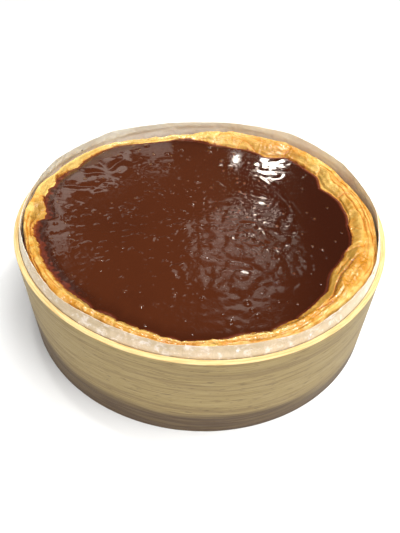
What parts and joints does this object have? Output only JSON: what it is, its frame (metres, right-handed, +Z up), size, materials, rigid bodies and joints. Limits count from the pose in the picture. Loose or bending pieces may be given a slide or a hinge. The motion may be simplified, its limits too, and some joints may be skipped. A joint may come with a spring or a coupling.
{
  "type": "custard tart",
  "caption": "Chocolate custard tart with a glossy dished filling and a folded golden pastry rim, in a round wooden baking case lined with baking paper.",
  "frame": {"origin": "centre of the wooden case's flat underside", "axes": "+Z up out of the tart; -Y towards the front of the case, which is the side that the picture shows; +X to the right"},
  "size_m": [0.1809, 0.1805, 0.058],
  "materials": {
    "case_wood": "thin bare poplar veneer, matt, with fine grain that runs round the hoop and a pale cut edge",
    "board_wood": "thin bare poplar board, matt, with straight grain",
    "baking_paper": "waxy translucent baking paper, softly creased, with a few spots of fat",
    "pastry": "golden baked puff pastry, layered along its edge, glazed with butter and egg in places",
    "chocolate_custard": "dark chocolate custard with a wet, glossy and slightly rippled skin"
  },
  "bodies": {
    "root": {"case_hoop": "case_wood", "case_board": "board_wood", "baking_paper": "baking_paper", "pastry_shell": "pastry", "chocolate_custard": "chocolate_custard"}
  },
  "joints": []
}
